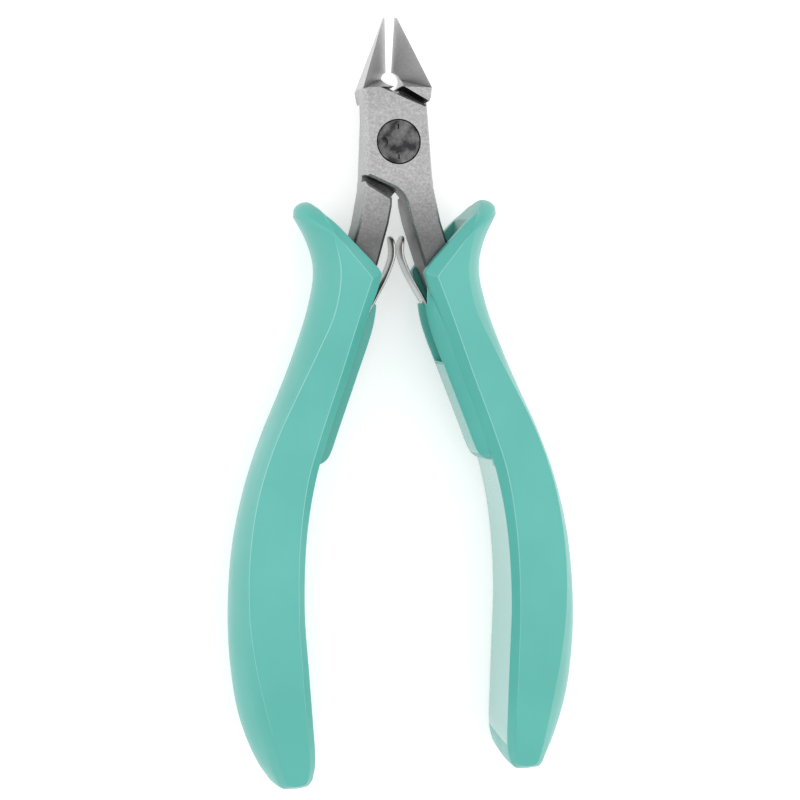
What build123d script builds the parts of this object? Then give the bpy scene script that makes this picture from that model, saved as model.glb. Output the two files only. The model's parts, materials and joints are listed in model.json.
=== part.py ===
"""Precision flush cutter with moulded grips and two leaf springs, lying on its back face.

Millimetres. +X across the handles, +Y towards the blade tips, +Z up along the pivot.
The origin is under the middle of the tool, on the surface it lies on.
Places on the head and handles are given from the pivot: at(x, y) puts them in the frame.
"""
from build123d import *
from math import cos, radians, sin
import os

os.makedirs("parts", exist_ok=True)

# ---- overall ----
overall_length = 146.0      # blade tips to grip ends
head_length = 23.5          # pivot centre to blade tips
grip_thickness = 18.0       # across the flat faces of a grip
head_thickness = 10.0       # steel at the pivot, both members together
rest_half_angle = 2.18      # each member stands this far open, in degrees

# ---- steel head ----
joint_half_width = 5.9      # pivot to the handle's side of the joint
flank_half_width = 6.3      # pivot to the jaw's side of the joint
jaw_half_width = 6.1        # widest place of a jaw, just above its ledge
lap_gap = 0.02              # oiled gap between the two lapped plates
edge_break = 0.45           # small chamfer on the steel's long edges
flank_break = 0.8           # wider chamfer along the jaw's side of the joint
blade_base = 10.1           # pivot to the front edge of the wall behind the facets
wall_slope = 2.9            # the wall leans this far towards the tip over the thickness
blade_gap = 0.02            # each cutting edge to the closing plane
blade_lift = 3.1            # how far the flush face rises from base to tip
blade_tip_width = 0.4
blade_tip_height = 0.6
throat_radius = 1.85        # clearance hole behind the cutting edges
throat_level = 11.8

# ---- pivot ----
screw_head_radius = 4.15
screw_head_height = 1.6
screw_shank_radius = 2.9
running_clearance = 0.03    # between shank and bores, and under the screw head
thread_radius = 2.2
nut_radius = 3.6
nut_height = 1.4
spanner_hole_radius = 0.8
spanner_hole_reach = 2.75   # from the pivot axis to the spanner hole
slit_width = 0.3
slit_length = 0.9
cone_radius = 3.8           # dished front of the screw head
cone_depth = 0.8

# ---- tangs, springs and rivets ----
tang_width = 5.5
tang_reach = 77.0           # pivot to the tang's end, measured along Y
tang_clearance = 0.08
spring_width = 6.0
spring_thickness = 0.55
spring_bend = 5.0           # radius of the centre line at its bends
spring_gap = 1.0            # between the two springs at their bulges, with the tool open
spring_clearance = 0.3
rivet_radius = 0.8
rivet_head_radius = 1.5
rivet_head_height = 0.4
rivet_level = -46.0         # below the pivot

# ---- grips ----
horn_reach = 19.0           # pivot line to the outermost point of the horn
waist_reach = 15.5
bulge_reach = 34.1
side_fullness = 1.0         # share of outer_inset by which the rounded side stands past the flat face
inner_bevel = 1.6           # bevel along the inner side and the top edge
guard_slope = 2.9           # how far the guard's front slopes back to meet the inner side
guard_depth = 5.0           # thickness of the guard, from mid-plane outwards
mouth_depth = 4.2           # pocket beside the tang in the top edge

pivot_y = overall_length / 2 - head_length
end_y = -overall_length / 2 - pivot_y        # grip end, measured from the pivot
mid_z = grip_thickness / 2
bulge_y = end_y + 32.0                       # where the grip is widest
half_head = head_thickness / 2
blade_end = head_length / cos(radians(rest_half_angle))
tool_axis = Axis((0, 0, mid_z), (0, 1, 0))


def at(x, y):
    """A point given from the pivot, in the tool's frame."""
    return (x, pivot_y + y)


def level(height):
    """The XY plane at a height above mid-thickness."""
    return Plane.XY.offset(mid_z + height)


def turned(x, y, side):
    """A point of a closed jaw, turned open with its member; side is -1 left, +1 right."""
    angle = radians(-side * rest_half_angle)
    return (x * cos(angle) - y * sin(angle), x * sin(angle) + y * cos(angle))


def tang_inner(y):
    """Inner side of the right tang: straight from the joint to the grip, then leaning out."""
    knee = -31.5
    return 8.0 + (knee - y) * (0.383 if y < knee else 0.36)


# ---------------------------------------------------------------- steel arms
# One arm is the front lap plate, the foot of the left jaw and the right handle.
jaw_side = turned(-jaw_half_width, blade_base, -1)
plate_shoulder = [at(*turned(-1.9, blade_base, -1)), at(-0.7, 9.3), at(joint_half_width - 0.4, 6.7)]
foot_shoulder = [at(*turned(-0.95, blade_base, -1)), at(-5.95, 7.4), at(0.1 - flank_half_width, 8.0)]
handle_shoulder = [at(joint_half_width + 0.5, -7.2), at(1.4, -10.35)]
plate_corner = at(-flank_half_width, -5.95)
tang_end = -tang_reach

inner_run = [at(1.5, -11.9), at(2.2, -15.2), at(4.4, -22.6), at(tang_inner(-31.5), -31.5),
             at(tang_inner(-60), -60), at(tang_inner(tang_end), tang_end)]
outer_run = [at(tang_inner(tang_end) + tang_width * 0.85, tang_end), at(tang_inner(-60) + tang_width, -60),
             at(tang_inner(-31.5) + tang_width, -31.5), at(10.3, -22.8), at(7.8, -15.0), at(6.5, -8.6)]

with BuildPart() as arm:
    with BuildSketch(level(lap_gap / 2)):
        with BuildLine():
            Polyline(*plate_shoulder, at(joint_half_width + 0.4, -6.6), handle_shoulder[0], outer_run[-1])
            Line(outer_run[-1], outer_run[-2])
            Line(outer_run[-2], inner_run[1])
            Line(inner_run[1], inner_run[0])
            ThreePointArc(inner_run[0], at(0.5, -9.75), at(-1.6, -8.15))
            Polyline(at(-1.6, -8.15), plate_corner, at(*jaw_side), plate_shoulder[0])
        make_face()
    extrude(amount=half_head - lap_gap / 2)
    with BuildSketch(level(-half_head)):
        with BuildLine():
            Polyline(*foot_shoulder, at(*jaw_side), close=True)
        make_face()
    extrude(amount=half_head + lap_gap)
    with BuildSketch(level(-half_head)):
        with BuildLine():
            Polyline(*handle_shoulder, *inner_run)
            Polyline(inner_run[-1], *outer_run, handle_shoulder[0])
        make_face()
    extrude(amount=head_thickness)
    front_edges = arm.faces().sort_by(Axis.Z)[-1].edges().filter_by_position(Axis.Y, -overall_length, pivot_y + 8.6)
    flank = front_edges.sort_by(Axis.X)[0]
    chamfer(flank, flank_break)
    front_edges = arm.faces().filter_by(Axis.Z).sort_by(Axis.Z)[-1].edges().sort_by(Axis.X)[1:]
    chamfer(front_edges.filter_by_position(Axis.Y, -overall_length, pivot_y + 8.6), edge_break)
    back_edges = arm.faces().filter_by(Axis.Z).group_by(Axis.Z)[0].sort_by(Axis.Y)[0].edges()
    chamfer(back_edges, edge_break)


def blade(side):
    """A ground blade: one facet from the cutting edge at the back up to the outer front edge."""
    closed = Plane((0, pivot_y, mid_z), x_dir=(*turned(1, 0, side), 0), z_dir=(0, 0, 1))
    foot = closed * Plane((0, blade_base, 0), x_dir=(1, 0, 0), z_dir=(0, 1, 0))
    tip = closed * Plane((0, blade_end, 0), x_dir=(1, 0, 0), z_dir=(0, 1, 0))
    wall = closed * Plane((side * blade_gap, 0, 0), x_dir=(0, 1, 0), z_dir=(side, 0, 0))
    tip_back = blade_lift - half_head
    tip_front = tip_back + blade_tip_height
    with BuildPart() as waste:
        with BuildSketch(foot):
            with BuildLine():
                Polyline((0, half_head), (side * -1, half_head), (side * -1, -half_head - 1),
                         (side * jaw_half_width, -half_head - 1), (side * jaw_half_width, -half_head), close=True)
            make_face()
        with BuildSketch(tip):
            with BuildLine():
                Polyline((0, -tip_back), (side * -1, -tip_back), (side * -1, -tip_front - 1),
                         (side * blade_tip_width, -tip_front - 1), (side * blade_tip_width, -tip_front), close=True)
            make_face()
        loft(ruled=True)
        with BuildSketch(wall):
            with BuildLine():
                Polyline((blade_base - 1, side * half_head), (blade_base, side * half_head),
                         (blade_base + wall_slope, -side * half_head), (blade_base - 1, -side * half_head), close=True)
            make_face()
        extrude(amount=jaw_half_width * 2, both=True, mode=Mode.SUBTRACT)
    with BuildPart() as ground:
        with BuildSketch(foot):
            with BuildLine():
                Polyline((side * blade_gap, half_head), (side * jaw_half_width, half_head),
                         (side * jaw_half_width, -half_head), (side * blade_gap, -half_head), close=True)
            make_face()
        with BuildSketch(tip):
            with BuildLine():
                Polyline((side * blade_gap, -tip_back), (side * blade_tip_width, -tip_back),
                         (side * blade_tip_width, -tip_front), (side * blade_gap, -tip_front), close=True)
            make_face()
        loft(ruled=True)
        add(waste.part, mode=Mode.SUBTRACT)
        with Locations((*at(0, throat_level), mid_z)):
            Cylinder(throat_radius, head_thickness * 2, mode=Mode.SUBTRACT)
    return ground.part


def rivet_plane(side):
    """Plane on the tang's inner side at the rivet, facing the tool's middle line."""
    lean = tang_inner(rivet_level - 1) - tang_inner(rivet_level)
    return Plane((side * tang_inner(rivet_level), pivot_y + rivet_level, mid_z),
                 x_dir=(0, 0, 1), z_dir=(-side, -lean, 0))


def bore(radius, bottom, top, forward=0):
    """Cut a bore between two heights above mid-thickness, on the pivot axis or forward of it."""
    with BuildSketch(Plane((*at(0, forward), mid_z + bottom))) as outline:
        Circle(radius)
    extrude(outline.sketch, amount=top - bottom, mode=Mode.SUBTRACT)


with BuildPart() as front_member:
    add(arm.part)
    add(blade(-1))
    bore(throat_radius, -half_head, half_head, throat_level)
    bore(screw_shank_radius + running_clearance, -half_head, half_head)
    bore(screw_head_radius + running_clearance, half_head - screw_head_height, half_head)
    with BuildSketch(rivet_plane(1)):
        Circle(rivet_radius)
    extrude(amount=-2 * tang_width, mode=Mode.SUBTRACT)
front_member.part.label = "front_member"
export_step(front_member.part, "parts/front_member.step")

with BuildPart() as back_member:
    add(arm.part.rotate(tool_axis, 180))
    add(blade(1))
    bore(throat_radius, -half_head, half_head, throat_level)
    bore(screw_shank_radius + running_clearance, -half_head, half_head)
    bore(nut_radius + running_clearance, -half_head, -half_head + nut_height)
    with BuildSketch(rivet_plane(-1)):
        Circle(rivet_radius)
    extrude(amount=-2 * tang_width, mode=Mode.SUBTRACT)
back_member.part.label = "back_member"
export_step(back_member.part, "parts/back_member.step")

# ---------------------------------------------------------------- pivot
head_seat = half_head - screw_head_height + running_clearance
nut_top = -half_head + nut_height
pivot_place = (*at(0, 0), mid_z)

with BuildPart() as pivot_screw:
    with BuildSketch(Plane((0, pivot_y, mid_z), x_dir=(1, 0, 0), z_dir=(0, -1, 0))):
        with BuildLine():
            Polyline((0, -half_head), (thread_radius, -half_head), (thread_radius, nut_top),
                     (screw_shank_radius, nut_top), (screw_shank_radius, head_seat),
                     (screw_head_radius, head_seat), (screw_head_radius, half_head - 0.25),
                     (screw_head_radius - 0.25, half_head), (cone_radius, half_head),
                     (0, half_head - cone_depth), close=True)
        make_face()
    revolve(axis=Axis(pivot_place, (0, 0, 1)))
    with BuildSketch(Plane(pivot_place).offset(half_head - screw_head_height * 0.75)):
        with Locations((-spanner_hole_reach, 0)):
            Circle(spanner_hole_radius)
        with Locations((0, spanner_hole_reach), (0, -spanner_hole_reach)):
            Rectangle(slit_width, slit_length)
    extrude(amount=head_thickness, mode=Mode.SUBTRACT)
pivot_screw.part.label = "pivot_screw"
export_step(pivot_screw.part, "parts/pivot_screw.step")

with BuildPart() as pivot_nut:
    with BuildSketch(Plane(pivot_place).offset(-half_head)):
        Circle(nut_radius)
        Circle(thread_radius, mode=Mode.SUBTRACT)
        with PolarLocations(nut_radius, 4, start_angle=45):
            Rectangle(1.2, 1.0, mode=Mode.SUBTRACT)
    extrude(amount=nut_height)
pivot_nut.part.label = "pivot_nut"
export_step(pivot_nut.part, "parts/pivot_nut.step")

# ---------------------------------------------------------------- leaf springs
touch_x = (spring_thickness + spring_gap) / 2
foot_top = -41.5
foot_end = -49.5
foot_offset = spring_thickness / 2 + 0.02


def spring_path(side):
    """Centre line of a spring: curled tip, bulge at the middle line, leg and foot on the tang."""
    foot_a = (tang_inner(foot_top) - foot_offset * 1.07, foot_top)
    foot_b = (tang_inner(foot_end) - foot_offset * 1.07, foot_end)
    points = [(1.35, -17.2), (touch_x - 0.2, -20.5), (2.0, -24.8), (6.0, -32.6), foot_a, foot_b]
    with BuildLine() as path:
        FilletPolyline(*[at(side * x, y) for x, y in points], radius=spring_bend)
    return path.line


spring_lines = {-1: spring_path(-1).edges(), 1: spring_path(1).edges()}


def leaf_spring(side):
    with BuildPart() as spring:
        with BuildSketch(level(-spring_width / 2)):
            trace(spring_lines[side], line_width=spring_thickness)
        extrude(amount=spring_width)
        with BuildSketch(rivet_plane(side)):
            Circle(rivet_radius)
        extrude(amount=2 * spring_thickness + 1, mode=Mode.SUBTRACT)
    return spring.part


def spring_rivet(side):
    """A rivet with a low head on the spring, through the tang, set flush on its outer side."""
    head_face = spring_thickness + 0.04
    with BuildPart() as rivet:
        with BuildSketch(rivet_plane(side).offset(head_face)):
            Circle(rivet_head_radius)
        extrude(amount=rivet_head_height)
        with BuildSketch(rivet_plane(side).offset(head_face)):
            Circle(rivet_radius)
        extrude(amount=-head_face - tang_width * 0.9)
    return rivet.part


for side, word in ((-1, "left"), (1, "right")):
    spring = leaf_spring(side)
    spring.label = "leaf_spring_" + word
    export_step(spring, "parts/leaf_spring_" + word + ".step")
    rivet = spring_rivet(side)
    rivet.label = "spring_rivet_" + word
    export_step(rivet, "parts/spring_rivet_" + word + ".step")

# ---------------------------------------------------------------- grips
# Outlines of the right grip: "middle" at mid-thickness, "face" where the flat face ends.
# The points of the two pair up, and the sections between mix them.
outer_middle = [(horn_reach, -13.8), (waist_reach + 1.0, -18.4), (waist_reach, -23.4), (waist_reach + 1.6, -30.4),
                (waist_reach + 7.6, -46.6), (bulge_reach - 3.7, bulge_y + 25.3), (bulge_reach, bulge_y + 1.5),
                (bulge_reach - 1.6, end_y + 13.5), (bulge_reach - 4.5, end_y + 5.0), (bulge_reach - 7.0, end_y + 0.9)]
outer_inset = [(5.3, 3.3), (4.1, 1.4), (3.6, 1.0), (4.1, 0.7), (2.8, -0.3), (2.1, -0.2), (3.5, -1.5), (4.9, -1.4),
               (4.0, -1.5), (2.5, -1.5)]
inner_middle = [(19.4, end_y + 1.6), (18.8, end_y + 5.5), (19.6, end_y + 23.5), (20.1, bulge_y + 3.5), (19.3, -73.0),
                (17.5, -63.0), (15.1, -55.0), (10.8, -43.2), (6.9, -32.2), (4.9, -27.3), (4.3, -25.0)]
guard_edge = [(5.9, -29.5), (3.9, -30.3), (4.5, -34.3), (8.1, -44.2), (12.1, -55.0), (14.0, -59.5), (17.3, -60.8)]


def inset(points, amounts, share):
    """Each point moved inwards by a share of its own amount."""
    return [at(x - share * dx, y - share * dy) for (x, y), (dx, dy) in zip(points, amounts)]


def grip_section(height):
    """Outline of the right grip at a height above mid-thickness."""
    part_way = abs(height) / mid_z
    side = side_fullness * (max(0.0, part_way - 0.2) / 0.8) ** 2
    bevel = inner_bevel * min(1.0, max(0.0, (part_way - 0.8) / 0.2))
    outer = inset(outer_middle, outer_inset, side)
    inner = [at(x + bevel * 0.95, y + bevel * 0.15) for x, y in inner_middle]
    corner = at(4.6 + bevel * 1.1, -23.5 - bevel * 0.85)
    shoulder = at(15.5 - bevel * 1.0 - side * 1.2, -12.3 - bevel * 1.0 - side * 3.5)
    crest = at(17.6 - side * 4.6, -11.5 - side * 5.6)
    with BuildSketch(level(height)) as section:
        with BuildLine():
            Line(corner, shoulder)
            ThreePointArc(shoulder, crest, outer[0])
            Spline(*outer)
            Polyline(outer[-1], at(25.6 - side * 1.7, end_y + side * 1.7), at(21.2 + bevel * 0.3, end_y + side * 1.7),
                     inner[0])
            Spline(*inner)
            Line(inner[-1], corner)
        make_face()
    return section.sketch


def guard_section(height, back_off):
    """Outline of the guard that stands in from the inner side over one half of the thickness."""
    edge = [at(x + back_off * 0.93, y + back_off * 0.36) for x, y in guard_edge]
    with BuildSketch(level(height)) as section:
        with BuildLine():
            Polyline(edge[0], edge[1], edge[2])
            Spline(*edge[2:])
            Polyline(edge[-1], at(21.5, -60.0), at(16.5, -46.0), at(11.5, -31.5), edge[0])
        make_face()
    return section.sketch


section_heights = [-1.0, -0.8, -0.5, -0.2, 0.2, 0.5, 0.8, 1.0]
seat_height = max(head_thickness, spring_width + 2 * spring_clearance) + 2 * tang_clearance

with BuildPart() as right_grip:
    loft([grip_section(share * mid_z) for share in section_heights], ruled=True)
    loft([guard_section(0, 0), guard_section(guard_depth, 0.2),
          guard_section(mid_z - inner_bevel, guard_slope + 0.2)], ruled=True)
    # the tang's seat
    with BuildSketch(level(-seat_height / 2)):
        with BuildLine():
            Polyline(*inner_run[1:], *outer_run, close=True)
        make_face()
        offset(amount=tang_clearance)
    extrude(amount=seat_height, mode=Mode.SUBTRACT)
    # the open mouth beside the tang in the top edge
    with BuildSketch(level(-seat_height / 2)):
        with BuildLine():
            Polyline(at(4.0, -20.0), at(12.0, -12.0), at(12.6, -17.0), at(11.4, -23.4 - mouth_depth),
                     at(7.2, -24.0 - mouth_depth), close=True)
        make_face()
    extrude(amount=seat_height, mode=Mode.SUBTRACT)
    # the spring's slot, open to the middle line above the guard's lip
    with BuildSketch(level(-seat_height / 2)):
        trace(spring_lines[1], line_width=spring_thickness + 2 * spring_clearance)
    extrude(amount=seat_height, mode=Mode.SUBTRACT)
    with BuildSketch(level(-seat_height / 2)):
        with BuildLine():
            Polyline(at(0.0, -22.0), at(4.87, -22.8), at(8.2, -31.5), at(6.2, -31.8), at(4.4, -30.2),
                     at(0.0, -30.2), close=True)
        make_face()
    extrude(amount=seat_height, mode=Mode.SUBTRACT)
    # room for the rivet's head
    with BuildSketch(rivet_plane(1)):
        Circle(rivet_head_radius + spring_clearance)
    extrude(amount=spring_thickness + rivet_head_height + 2 * tang_clearance, mode=Mode.SUBTRACT)
right_grip.part.label = "right_grip"
export_step(right_grip.part, "parts/right_grip.step")

with BuildPart() as left_grip:
    add(right_grip.part.rotate(tool_axis, 180))
left_grip.part.label = "left_grip"
export_step(left_grip.part, "parts/left_grip.step")
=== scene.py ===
"""Looks of the flush cutter: moulded grips, satin steel head, oxide-black pivot, leaf springs."""

import json
from math import cos, pi, radians, sin

import bpy
import bmesh
from mathutils import Matrix, Vector


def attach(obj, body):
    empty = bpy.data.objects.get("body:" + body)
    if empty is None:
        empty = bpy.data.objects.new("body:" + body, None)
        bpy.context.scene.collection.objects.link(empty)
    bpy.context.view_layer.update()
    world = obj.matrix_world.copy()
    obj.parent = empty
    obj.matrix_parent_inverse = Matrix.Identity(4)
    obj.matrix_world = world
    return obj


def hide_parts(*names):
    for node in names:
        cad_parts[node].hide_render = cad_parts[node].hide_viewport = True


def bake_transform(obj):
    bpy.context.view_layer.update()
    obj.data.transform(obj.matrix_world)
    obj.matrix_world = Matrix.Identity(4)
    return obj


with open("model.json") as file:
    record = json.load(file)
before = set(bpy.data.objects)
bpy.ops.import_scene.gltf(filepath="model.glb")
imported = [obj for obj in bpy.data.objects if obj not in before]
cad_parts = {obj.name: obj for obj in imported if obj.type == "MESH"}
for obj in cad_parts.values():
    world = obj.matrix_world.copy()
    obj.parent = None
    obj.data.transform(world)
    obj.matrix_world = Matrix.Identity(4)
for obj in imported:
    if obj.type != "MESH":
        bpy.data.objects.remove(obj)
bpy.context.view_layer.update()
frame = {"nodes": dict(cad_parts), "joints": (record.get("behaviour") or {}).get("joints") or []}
nodes = frame["nodes"]
PIVOT = Vector(frame["joints"][0]["pos_m"])
MM = 0.001


def place(x, y, z):
    """A point in mm from the pivot's centre, in the row frame."""
    return PIVOT + Vector((x, y, z)) * MM


# ------------------------------------------------------------------ materials
# Heights of bumps and reaches are in metres, as the shader nodes take them.

MIX_FACTOR, MIX_A, MIX_B, MIX_RESULT = 0, 6, 7, 2      # sockets of a Mix node that mixes colours


class Look:
    """A short way to write a material's node tree."""

    def __init__(self, name):
        self.material = bpy.data.materials.new(name)
        self.material.use_nodes = True
        self.tree = self.material.node_tree
        self.shader = next(node for node in self.tree.nodes if node.type == "BSDF_PRINCIPLED")
        self.coord = self.add("ShaderNodeTexCoord").outputs["Object"]

    def add(self, kind, **settings):
        """A new node. Settings with a capital are its sockets, the others its own properties."""
        node = self.tree.nodes.new(kind)
        for key, value in settings.items():
            if key[0].isupper():
                self.set(node.inputs[key.replace("_", " ")], value)
            else:
                setattr(node, key, value)
        return node

    def set(self, socket, value):
        """Links a socket to another, or gives it a value."""
        if isinstance(value, bpy.types.NodeSocket):
            self.tree.links.new(value, socket)
        elif socket.type == "RGBA":
            socket.default_value = (*value, 1)
        else:
            socket.default_value = value

    def scaled(self, scale, turn=(0, 0, 0)):
        node = self.add("ShaderNodeMapping", Vector=self.coord)
        node.inputs["Scale"].default_value = scale
        node.inputs["Rotation"].default_value = turn
        return node.outputs["Vector"]

    def noise(self, vector, scale, detail=3.0, roughness=0.5):
        node = self.add("ShaderNodeTexNoise", Vector=vector, Scale=scale, Detail=detail, Roughness=roughness)
        return node.outputs["Fac"]

    def ramp(self, factor, first, last):
        """A colour ramp between two stops, each (position, colour)."""
        node = self.add("ShaderNodeValToRGB", Fac=factor)
        for element, (position, colour) in zip(node.color_ramp.elements, (first, last)):
            element.position = position
            element.color = (*colour, 1)
        return node.outputs["Color"]

    def span(self, value, low, high, start=0.0, end=1.0):
        """low where the value is at start, high where it is at end, and even in between."""
        node = self.add("ShaderNodeMapRange", Value=value)
        for key, limit in (("From Min", start), ("From Max", end), ("To Min", low), ("To Max", high)):
            node.inputs[key].default_value = limit
        return node.outputs["Result"]

    def mix(self, factor, a, b):
        node = self.add("ShaderNodeMix", data_type="RGBA")
        for socket, value in ((MIX_FACTOR, factor), (MIX_A, a), (MIX_B, b)):
            self.set(node.inputs[socket], value)
        return node.outputs[MIX_RESULT]

    def math(self, operation, a, b):
        node = self.add("ShaderNodeMath", operation=operation)
        for socket, value in zip(node.inputs, (a, b)):
            self.set(socket, value)
        return node.outputs[0]

    def bump(self, height, strength, distance, normal=None):
        node = self.add("ShaderNodeBump", Height=height, Strength=strength, Distance=distance)
        if normal is not None:
            self.set(node.inputs["Normal"], normal)
        return node.outputs["Normal"]

    def openness(self, reach, inside=False):
        """1 in the open, less where other surfaces come within reach. Inside: less at the outer edges."""
        node = self.add("ShaderNodeAmbientOcclusion", Distance=reach, samples=6,
                        inside=inside, only_local=inside)
        return node.outputs["AO"]

    def shade(self, **inputs):
        """Sets the shader's own sockets and gives the finished material."""
        for key, value in inputs.items():
            self.set(self.shader.inputs[key.replace("_", " ")], value)
        return self.material


def linear(r, g, b):
    """An sRGB colour, 0 to 255, as linear values."""
    def one(v):
        v /= 255
        return v / 12.92 if v < 0.04045 else ((v + 0.055) / 1.055) ** 2.4
    return (one(r), one(g), one(b))


def grey(value):
    return (value, value, value)


def grip_plastic(name, low_rough, high_rough, coat):
    """Semi-matte moulded plastic: fine texture, faint flow marks, outer edges painted a little lighter as a
    highlight.
    """
    look = Look(name)
    cloud = look.noise(look.coord, scale=60.0)
    fine = look.noise(look.coord, scale=2600.0, detail=2.0, roughness=0.6)
    flow = look.noise(look.scaled((1.0, 0.25, 1.0)), scale=420.0, detail=2.0)
    base = look.ramp(cloud, (0.3, linear(94, 192, 180)), (0.7, linear(101, 199, 188)))
    colour = look.mix(look.span(flow, 0.0, 0.10), base, linear(84, 176, 156))
    # Painted highlight: the outer edges are made lighter, where they would catch the light.
    painted_edge_highlight = look.span(look.openness(0.0005, inside=True), 0.6, 0.0, start=0.1, end=0.6)
    colour = look.mix(painted_edge_highlight, colour, linear(175, 238, 230))
    rough = look.span(flow, low_rough, high_rough, start=0.3, end=0.7)
    normal = look.bump(fine, strength=0.14, distance=0.00006)
    return look.shade(Base_Color=colour, Roughness=rough, Normal=normal, Specular_IOR_Level=0.5,
                      Coat_Weight=coat, Coat_Roughness=0.14)


# Places along a member, in mm from the pivot towards the tips.
DARKEST_AT, DARKENING_FROM = -18.0, -7.0
GROUND_SHEEN_FROM, GROUND_SHEEN_FULLY = 9.8, 10.4


def member_tones_and_painted_light(look, colour):
    """Tones of a member: darker and duller towards the grips, paler on the blade, finished by grinding, with
    a painted sheen, painted shade down in crevices, and painted highlights along its edges."""
    along = look.add("ShaderNodeSeparateXYZ", Vector=look.coord).outputs["Y"]
    # Darker towards the grips.
    darker_to_grips = look.span(along, 0.75, 0.0, start=PIVOT.y + DARKEST_AT * MM, end=PIVOT.y + DARKENING_FROM * MM)
    colour = look.mix(darker_to_grips, colour, grey(0.075))
    # The blade's finish is real; its paler colour is a painted sheen in place of its reflection.
    ground_and_sheen = look.span(along, 0.0, 0.42, start=PIVOT.y + GROUND_SHEEN_FROM * MM, end=PIVOT.y + GROUND_SHEEN_FULLY * MM)
    colour = look.mix(ground_and_sheen, colour, grey(0.75))
    # Painted shade: darker down in crevices, where other surfaces come near.
    painted_crevice_shade = look.span(look.openness(0.0032), 0.93, 0.0, start=0.30, end=0.72)
    colour = look.mix(painted_crevice_shade, colour, grey(0.012))
    # Painted highlight: lighter along the outer edges.
    painted_edge_glint = look.span(look.openness(0.0003, inside=True), 0.55, 0.0, start=0.2, end=0.7)
    return look.mix(painted_edge_glint, colour, grey(0.60))


def steel(name, low, high, streak_turn, roughness, grain=1.0, with_member_tones=False):
    """Bead-blasted steel, mottled between two tones, with faint grinding streaks."""
    look = Look(name)
    streak = look.noise(look.scaled((1.0, 14.0, 1.0), (0, 0, streak_turn)), scale=900.0, roughness=0.6)
    mottle = look.noise(look.coord, scale=2400.0, roughness=0.7)
    blotch = look.noise(look.coord, scale=120.0, detail=2.0)
    mixed = look.math("ADD", look.math("MULTIPLY", streak, 0.3), look.math("MULTIPLY", mottle, 0.7))
    colour = look.ramp(mixed, (0.33, low), (0.67, high))
    if with_member_tones:
        colour = member_tones_and_painted_light(look, colour)
    rough = look.span(blotch, roughness - 0.05, roughness + 0.07, start=0.3, end=0.7)
    normal = look.bump(mottle, strength=0.34 * grain, distance=0.00004)
    normal = look.bump(streak, strength=0.12 * grain, distance=0.00004, normal=normal)
    return look.shade(Base_Color=colour, Roughness=rough, Normal=normal, Metallic=1.0)


def oxide(name):
    """Black oxide on turned steel, scuffed brighter in patches."""
    look = Look(name)
    mottle = look.noise(look.coord, scale=900.0, detail=4.0, roughness=0.65)
    patch = look.noise(look.coord, scale=420.0, roughness=0.6)
    colour = look.ramp(patch, (0.38, (0.035, 0.035, 0.037)), (0.70, (0.22, 0.22, 0.222)))
    rough = look.span(mottle, 0.24, 0.40, start=0.3, end=0.7)
    normal = look.bump(mottle, strength=0.35, distance=0.00006)
    return look.shade(Base_Color=colour, Roughness=rough, Normal=normal, Metallic=0.9)


def set_material(obj, material):
    obj.data.materials.clear()
    obj.data.materials.append(material)


GRIP = grip_plastic("grip_plastic", low_rough=0.28, high_rough=0.36, coat=0.12)
GRIP_POLISHED = grip_plastic("grip_polished", low_rough=0.13, high_rough=0.17, coat=1.0)
STEEL = steel("satin_steel", grey(0.29), grey(0.56), streak_turn=0.4, roughness=0.40, with_member_tones=True)
SPRING = steel("spring_strip", (0.52, 0.515, 0.50), (0.68, 0.675, 0.66), streak_turn=0.2, roughness=0.25,
               grain=0.5)
OXIDE = oxide("oxide_black")

for name in ("front_member", "back_member", "spring_rivet_left", "spring_rivet_right"):
    set_material(nodes[name], STEEL)
for name in ("pivot_screw", "pivot_nut"):
    set_material(nodes[name], OXIDE)


# ------------------------------------------------------------------ shapes

def smooth_run(points, count):
    """count points along a smooth curve through the given ones, without its last point."""
    points = [Vector(p) for p in points]
    points = [points[0] * 2 - points[1]] + points + [points[-1] * 2 - points[-2]]
    knots = [0.0]
    for a, b in zip(points, points[1:]):
        knots.append(knots[-1] + (b - a).length ** 0.5)
    run = []
    for k in range(count):
        t = knots[1] + (knots[-2] - knots[1]) * k / count
        i = max(j for j in range(1, len(points) - 2) if knots[j] <= t + 1e-12)
        p0, p1, p2, p3 = points[i - 1:i + 3]
        t0, t1, t2, t3 = knots[i - 1:i + 3]

        def between(a, ta, b, tb):
            return a * ((tb - t) / (tb - ta)) + b * ((t - ta) / (tb - ta))

        first = between(between(p0, t0, p1, t1), t0, between(p1, t1, p2, t2), t2)
        last = between(between(p1, t1, p2, t2), t1, between(p2, t2, p3, t3), t3)
        run.append(between(first, t1, last, t2))
    return run


def add_mesh(name, vertices, faces):
    mesh = bpy.data.meshes.new(name)
    mesh.from_pydata(vertices, [], faces)
    mesh.update()
    obj = bpy.data.objects.new(name, mesh)
    bpy.context.scene.collection.objects.link(obj)
    return obj


def stack_mesh(name, rings):
    """A closed solid from rings of equal length, with flat caps."""
    count = len(rings[0])
    vertices = [v for ring in rings for v in ring]
    faces = []
    for start in range(0, (len(rings) - 1) * count, count):
        for i in range(count):
            j = (i + 1) % count
            faces.append((start + i, start + j, start + count + j, start + count + i))
    faces.append(tuple(reversed(range(count))))
    faces.append(tuple(range(len(vertices) - count, len(vertices))))
    obj = add_mesh(name, vertices, faces)
    mesh = bmesh.new()
    mesh.from_mesh(obj.data)
    bmesh.ops.recalc_face_normals(mesh, faces=mesh.faces)
    mesh.to_mesh(obj.data)
    mesh.free()
    return obj


def prism(name, outline, low, high):
    return stack_mesh(name, [[place(x, y, height) for x, y in outline] for height in (low, high)])


def join(obj, other):
    """Adds the other object's mesh to obj and removes the other object."""
    mesh = bmesh.new()
    mesh.from_mesh(obj.data)
    mesh.from_mesh(other.data)
    mesh.to_mesh(obj.data)
    mesh.free()
    bpy.data.objects.remove(other)


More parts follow.
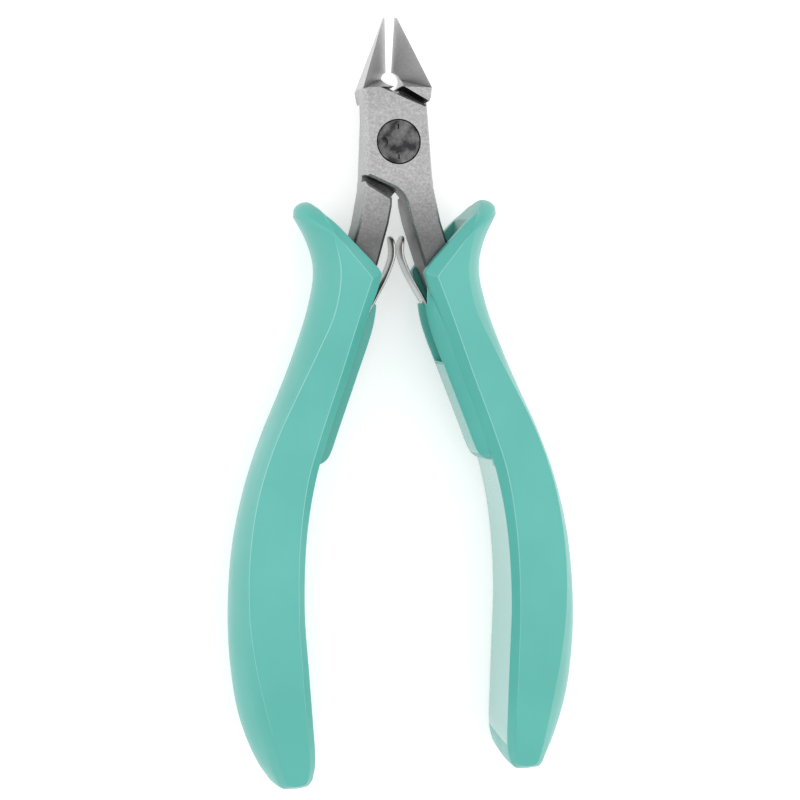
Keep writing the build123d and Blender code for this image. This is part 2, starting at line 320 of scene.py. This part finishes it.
def combine(obj, operation, other):
    """Applies one boolean to obj and removes the other object."""
    modifier = obj.modifiers.new("combine", "BOOLEAN")
    modifier.operation = operation
    modifier.solver = "EXACT"
    modifier.object = other
    bpy.context.view_layer.update()
    graph = bpy.context.evaluated_depsgraph_get()
    mesh = bpy.data.meshes.new_from_object(obj.evaluated_get(graph))
    obj.modifiers.clear()
    old = obj.data
    obj.data = mesh
    bpy.data.meshes.remove(old)
    bpy.data.objects.remove(other)


def turned_over(obj, name):
    """A copy of obj, turned half a turn about the tool's length through the pivot."""
    copy = obj.copy()
    copy.data = obj.data.copy()
    copy.name = name
    bpy.context.scene.collection.objects.link(copy)
    copy.data.transform(Matrix.Translation(PIVOT) @ Matrix.Rotation(pi, 4, "Y") @ Matrix.Translation(-PIVOT))
    return copy


# ------------------------------------------------------------------ grips
# Outlines of the right grip in mm from the pivot: MIDDLE at mid-thickness, FACE where the
# flat face ends. They follow one another round the grip, and the sections in between mix the two.

OUTER_MIDDLE = [(19.5, -13.5), (17.1, -18.2), (15.9, -23.4), (17.1, -30.4), (20.1, -39.2), (23.1, -46.6),
                (26.9, -55.3), (30.4, -65.2), (32.9, -76.0), (34.1, -89.0), (33.9, -99.0), (32.5, -109.0),
                (29.6, -117.4), (27.4, -121.1)]
OUTER_FACE = [(13.4, -16.8), (12.6, -19.6), (12.0, -24.2), (13.3, -31.3), (16.8, -38.8), (20.6, -46.2),
              (24.8, -54.8), (28.3, -65.0), (30.2, -76.0), (30.6, -87.5), (29.6, -97.5), (27.6, -107.6),
              (25.7, -115.9), (24.6, -119.6)]
BOTTOM_MIDDLE = [(27.4, -121.1), (26.2, -122.0), (24.5, -122.1), (22.2, -122.1), (20.2, -121.6),
                 (19.3, -120.3)]
BOTTOM_FACE = [(24.6, -119.6), (24.1, -120.2), (23.4, -120.4), (22.0, -120.4), (21.0, -120.1),
               (20.6, -119.3)]
INNER_MIDDLE = [(19.3, -120.3), (18.8, -117.0), (19.1, -109.0), (19.6, -99.0), (20.1, -87.0), (19.3, -73.0),
                (17.5, -63.0), (15.1, -55.0), (10.8, -43.2), (6.9, -32.2), (5.0, -27.5), (4.3, -25.2)]
INNER_FACE = [(20.6, -119.3), (20.2, -117.0), (20.5, -109.0), (21.0, -99.0), (21.4, -87.0), (20.8, -73.6),
              (19.1, -62.4), (16.7, -54.6), (12.5, -42.9), (8.7, -31.9), (7.2, -27.8), (6.4, -25.6)]
TOP_MIDDLE = [(4.3, -25.2), (4.15, -24.3), (4.6, -23.45), (10.1, -17.4), (15.3, -11.7)]
TOP_FACE = [(6.3, -25.5), (6.2, -25.2), (6.4, -24.8), (9.7, -20.7), (12.7, -17.0)]
HORN_MIDDLE = [(15.3, -11.7), (16.7, -10.8), (18.2, -11.0), (19.3, -12.0), (19.5, -13.5)]
HORN_FACE = [(12.7, -17.0), (12.85, -16.8), (13.1, -16.6), (13.35, -16.6), (13.4, -16.8)]
# Each run: middle, face, number of points, and 1 on the rounded outer side to 0 on the bevelled inner one.
GRIP_RUNS = [
    (OUTER_MIDDLE, OUTER_FACE, 110, 1.0),
    (BOTTOM_MIDDLE, BOTTOM_FACE, 22, 0.6),
    (INNER_MIDDLE, INNER_FACE, 80, 0.0),
    (TOP_MIDDLE, TOP_FACE, 40, 0.0),
    (HORN_MIDDLE, HORN_FACE, 26, 1.0),
]
ROUNDING_PASSES = 60        # smoothings of the change from rounded side to bevel
# Each section: height, then the share of the way from middle to face on the outer and the inner side.
GRIP_LEVELS = [
    (0.0, 0.0, 0.0), (1.6, 0.03, 0.0), (3.0, 0.11, 0.0), (4.4, 0.235, 0.0), (5.6, 0.385, 0.0),
    (6.6, 0.535, 0.0), (7.05, 0.61, 0.0), (7.2, 0.64, 0.02), (7.32, 0.66, 0.08), (7.8, 0.75, 0.34),
    (8.4, 0.87, 0.66), (8.8, 0.95, 0.87), (8.95, 0.985, 0.96), (9.0, 1.0, 1.0),
]

# The guard: its free edge, and the line inside the grip that closes the outline.
GUARD_EDGE = [(6.6, -24.9), (5.0, -25.0), (4.25, -26.2), (4.0, -28.6), (4.0, -30.6), (4.7, -34.6),
              (8.1, -44.2), (12.1, -55.0), (13.0, -57.5), (14.0, -59.5), (15.3, -60.5), (17.4, -60.9)]
GUARD_STEPS = 70
GUARD_INSIDE = [(17.4, -60.9), (19.5, -60.0), (17.2, -54.0), (12.6, -42.0), (9.0, -31.0)]
# Each section: height, and how far the free edge has come back into the grip.
GUARD_LEVELS = [(0.0, 0.16), (0.05, 0.06), (0.18, 0.0), (4.6, 0.62), (4.9, 0.7), (5.1, 0.85), (6.2, 1.85),
                (7.25, 3.1), (7.35, 3.4)]
INTO_GRIP_X, INTO_GRIP_Y = 0.93, 0.36       # direction square to the free edge

CHANNEL = 5.15              # half height of the open channel for the tang
# Each cut: outline, lowest and highest level.
GRIP_CUTS = {
    "channel": ([(1.0, -19.0), (7.5, -14.0), (9.0, -14.6), (10.1, -22.8), (13.6, -31.4), (8.1, -31.4),
                 (7.6, -30.3), (1.0, -30.3)], -CHANNEL, CHANNEL),
    "mouth": ([(6.5, -18.0), (10.0, -10.0), (13.2, -12.0), (12.0, -18.2), (10.2, -22.6), (9.0, -22.6)],
              -CHANNEL, CHANNEL),
    "slot": ([(3.0, -29.9), (6.6, -29.2), (11.0, -41.9), (7.0, -41.3)], 0.6, 4.6),
}
SHARP_EDGE = radians(38)

# The walls that face the other grip are polished: their ends along the tool, and their half height,
# which is less where the guard is.
POLISHED_FOOT, POLISHED_GUARD, POLISHED_TOP = -117, -62, -41.8
POLISHED_HALF, POLISHED_HALF_GUARD = 7.3, 5.0

# Fine raised lines along the edges of the flat faces.
CREASE_LEVEL = 8.98
CREASE_OUTER, CREASE_INNER = 0.11, 0.09     # radii
CREASE_SIDES = 8
CREASE_TAPER = 12           # points over which an end runs out
CREASE_FADES_FROM, CREASE_FADES_OVER, CREASE_LEAST = -60, 60, 0.3


def grip_body(name):
    middle, face, rounded = [], [], []
    for run_middle, run_face, count, outer in GRIP_RUNS:
        middle += smooth_run(run_middle, count)
        face += smooth_run(run_face, count)
        rounded += [outer] * count
    for _ in range(ROUNDING_PASSES):
        neighbours = zip(rounded[-1:] + rounded[:-1], rounded, rounded[1:] + rounded[:1])
        rounded = [(before + own * 2 + after) / 4 for before, own, after in neighbours]
    mirrored = [(-height, outer, inner) for height, outer, inner in reversed(GRIP_LEVELS)]
    rings = []
    for height, outer, inner in mirrored + GRIP_LEVELS[1:]:
        ring = [m.lerp(f, r * outer + (1 - r) * inner) for m, f, r in zip(middle, face, rounded)]
        rings.append([place(point.x, point.y, height) for point in ring])
    return stack_mesh(name, rings)


def guard_body(name):
    """The guard stands in from the inner wall over the front half of the thickness."""
    edge = smooth_run(GUARD_EDGE, GUARD_STEPS)
    rings = []
    for height, back_off in GUARD_LEVELS:
        ring = [place(p.x + INTO_GRIP_X * back_off, p.y + INTO_GRIP_Y * back_off, height) for p in edge]
        ring += [place(x, y, height) for x, y in GUARD_INSIDE]
        rings.append(ring)
    return stack_mesh(name, rings)


def crease(name, line, height, radius):
    """A fine raised line left by the mould along an edge, finer towards the foot of the grip."""
    rings = []
    for k, point in enumerate(line):
        along = (line[min(k + 1, len(line) - 1)] - line[max(k - 1, 0)]).normalized()
        end_share = min(1.0, (k + 1) / CREASE_TAPER, (len(line) - k) / CREASE_TAPER)
        foot_share = min(1.0, max(CREASE_LEAST, 1 + (point.y - CREASE_FADES_FROM) / CREASE_FADES_OVER))
        size = radius * end_share * foot_share
        ring = []
        for side in range(CREASE_SIDES):
            turn = 2 * pi * side / CREASE_SIDES
            off = size * cos(turn)
            ring.append(place(point.x - along.y * off, point.y + along.x * off, height + size * sin(turn)))
        rings.append(ring)
    return stack_mesh(name, rings)


def faces_other_grip(polygon):
    """Whether a polygon of the right grip lies in its polished wall."""
    centre = (polygon.center - PIVOT) / MM
    half = POLISHED_HALF_GUARD if centre.y > POLISHED_GUARD else POLISHED_HALF
    return polygon.normal.x < -0.8 and POLISHED_FOOT < centre.y < POLISHED_TOP and abs(centre.z) < half


def moulded_grip(name):
    """The right grip with its guard, the tang's channel and mouth, and the recess in the guard."""
    grip = grip_body(name)
    combine(grip, "UNION", guard_body("guard"))
    for cut, (outline, low, high) in GRIP_CUTS.items():
        combine(grip, "DIFFERENCE", prism(cut, outline, low, high))
    set_material(grip, GRIP)
    grip.data.materials.append(GRIP_POLISHED)
    grip.data.shade_smooth()
    grip.data.set_sharp_from_angle(angle=SHARP_EDGE)
    for polygon in grip.data.polygons:
        if abs(polygon.normal.z) > 0.9999:
            polygon.use_smooth = False
        if faces_other_grip(polygon):
            polygon.material_index = 1
    # The lines stop short of the horn and of the foot. The front face has none on its rounded side.
    outer_line = smooth_run(OUTER_FACE, 180)[4:165]
    inner_line = smooth_run(INNER_FACE, 120)[12:] + smooth_run(TOP_FACE, 60)[:56]
    join(grip, crease("crease", outer_line, -CREASE_LEVEL, CREASE_OUTER))
    join(grip, crease("crease", inner_line, -CREASE_LEVEL, CREASE_INNER))
    join(grip, crease("crease", inner_line, CREASE_LEVEL, CREASE_INNER))
    return grip


right_grip = moulded_grip("moulded_grip_right")
left_grip = turned_over(right_grip, "moulded_grip_left")

for grip, node, body in ((right_grip, "right_grip", "front_half"), (left_grip, "left_grip", "back_half")):
    weighted = grip.modifiers.new("weighted", "WEIGHTED_NORMAL")
    weighted.keep_sharp = True
    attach(grip, body)
    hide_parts(node)

# ------------------------------------------------------------------ leaf springs
# Centre line of the right spring in mm from the pivot: rounded tip, bulge, leg into the grip,
# foot flat on the tang.

SPRING_LINE = [(1.2, -17.4), (0.84, -19.0), (0.78, -20.5), (1.0, -21.8), (2.2, -24.8), (4.2, -28.5),
               (6.3, -32.2), (11.53, -41.5), (14.6, -49.5)]
SPRING_STEPS = 120
SPRING_SIDES = 16
SPRING_WIDTH = 6.0
SPRING_THICKNESS = 0.5
SPRING_TIP = 1.8            # length of the rounded end
SPRING_SHARP_EDGE = radians(50)


def spring_half_width(travelled):
    """Half the strip's width at a distance from its tip, which is a quarter ellipse each way."""
    share = min(1.0, (travelled + 0.02) / SPRING_TIP)
    return SPRING_WIDTH / 2 * max(0.06, (1 - (1 - share) ** 2) ** 0.5)


def leaf_spring(name, side):
    """A strip with rounded long edges, narrowing to a round end at its tip; side is -1 left, +1 right."""
    line = smooth_run(SPRING_LINE, SPRING_STEPS) + [Vector(SPRING_LINE[-1])]
    edge = SPRING_THICKNESS / 2
    rings = []
    travelled = 0.0
    for k, point in enumerate(line):
        along = (line[min(k + 1, len(line) - 1)] - line[max(k - 1, 0)]).normalized()
        across = Vector((-along.y, along.x))
        if k:
            travelled += (point - line[k - 1]).length
        half_width = spring_half_width(travelled)
        ring = []
        for turn in range(SPRING_SIDES):
            angle = 2 * pi * (turn + 0.5) / SPRING_SIDES
            z = (half_width - edge) * (1 if cos(angle) > 0 else -1) + edge * cos(angle)
            offset = across * edge * sin(angle)
            ring.append(place(side * (point.x + offset.x), point.y + offset.y, z))
        rings.append(ring)
    spring = stack_mesh(name, rings)
    spring.data.shade_smooth()
    spring.data.set_sharp_from_angle(angle=SPRING_SHARP_EDGE)
    set_material(spring, SPRING)
    return spring


for side, word, own, other in ((-1, "left", "back_half", "front_half"),
                               (1, "right", "front_half", "back_half")):
    spring = leaf_spring("spring_strip_" + word, side)
    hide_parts("leaf_spring_" + word)
    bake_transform(spring)

# ------------------------------------------------------------------ camera

CAMERA_AZIMUTH = radians(10.996)            # from straight above, towards the left grip
CAMERA_ELEVATION = radians(6.115)           # from straight above, towards the tips
CAMERA_ROLL = radians(-1.1)
CAMERA_DISTANCE = 282.589                   # mm
CAMERA_TARGET = (0.25, -48.789, 0.0)        # mm from the pivot
CAMERA_SENSOR = 36.0
CAMERA_LENS = 66.04124


def add_camera():
    back = Vector((-sin(CAMERA_AZIMUTH) * cos(CAMERA_ELEVATION), sin(CAMERA_ELEVATION),
                   cos(CAMERA_AZIMUTH) * cos(CAMERA_ELEVATION)))
    level_right = Vector((0, 1, 0)).cross(back).normalized()
    level_up = back.cross(level_right)
    right = level_right * cos(CAMERA_ROLL) + level_up * sin(CAMERA_ROLL)
    up = level_up * cos(CAMERA_ROLL) - level_right * sin(CAMERA_ROLL)
    data = bpy.data.cameras.new("camera")
    data.sensor_width = CAMERA_SENSOR
    data.lens = CAMERA_LENS
    data.clip_start = 0.01
    camera = bpy.data.objects.new("camera", data)
    bpy.context.scene.collection.objects.link(camera)
    seat = Matrix.Translation(place(*CAMERA_TARGET) + back * CAMERA_DISTANCE * MM)
    camera.matrix_world = seat @ Matrix((right, up, back)).transposed().to_4x4()
    return camera


bpy.context.scene.camera = add_camera()

# ------------------------------------------------------------------ floor, lamps, world (metres, watts)

FLOOR_HALF = 3.0
FLOOR_LEVEL = -0.0003
FLOOR_LIFT = 0.5            # light added where the floor is looked at
WORLD_STRENGTH = 0.60
# Each lamp: name, place, size and power. All aim at the frame's origin.
LAMPS = [
    ("soft_top", (0.0, 0.15, 0.9), (1.0, 1.0), 2.1),
    ("soft_left", (-0.8, 0.1, 0.45), (0.6, 0.9), 1.7),
    ("soft_right", (0.8, 0.0, 0.4), (0.5, 0.9), 1.6),
]


def floor_material():
    """Pale floor that keeps the object's shadow, and looks white both directly and mirrored."""
    look = Look("floor")
    grain = look.noise(look.coord, scale=40.0)
    colour = look.ramp(grain, (0.0, grey(0.80)), (1.0, grey(0.84)))
    path = look.add("ShaderNodeLightPath").outputs
    seen = look.math("MAXIMUM", path["Is Camera Ray"], path["Is Glossy Ray"])
    seen = look.math("MAXIMUM", seen, path["Is Transmission Ray"])
    return look.shade(Base_Color=colour, Roughness=1.0, Specular_IOR_Level=0.0, Emission_Color=grey(1.0),
                      Emission_Strength=look.math("MULTIPLY", seen, FLOOR_LIFT))


def add_lamp(name, where, size, power):
    data = bpy.data.lights.new(name, "AREA")
    data.shape = "RECTANGLE"
    data.size, data.size_y = size
    data.energy = power
    lamp = bpy.data.objects.new(name, data)
    bpy.context.scene.collection.objects.link(lamp)
    lamp.location = where
    lamp.rotation_euler = (-Vector(where)).to_track_quat("-Z", "Y").to_euler()


corners = [(x * FLOOR_HALF, y * FLOOR_HALF, FLOOR_LEVEL) for x, y in ((-1, -1), (1, -1), (1, 1), (-1, 1))]
floor = add_mesh("floor", corners, [(0, 1, 2, 3)])
set_material(floor, floor_material())

for settings in LAMPS:
    add_lamp(*settings)

world = bpy.data.worlds.new("studio")
world.use_nodes = True
background = world.node_tree.nodes["Background"].inputs
background["Color"].default_value = (1, 1, 1, 1)
background["Strength"].default_value = WORLD_STRENGTH
bpy.context.scene.world = world
bpy.context.scene.view_settings.view_transform = "Standard"
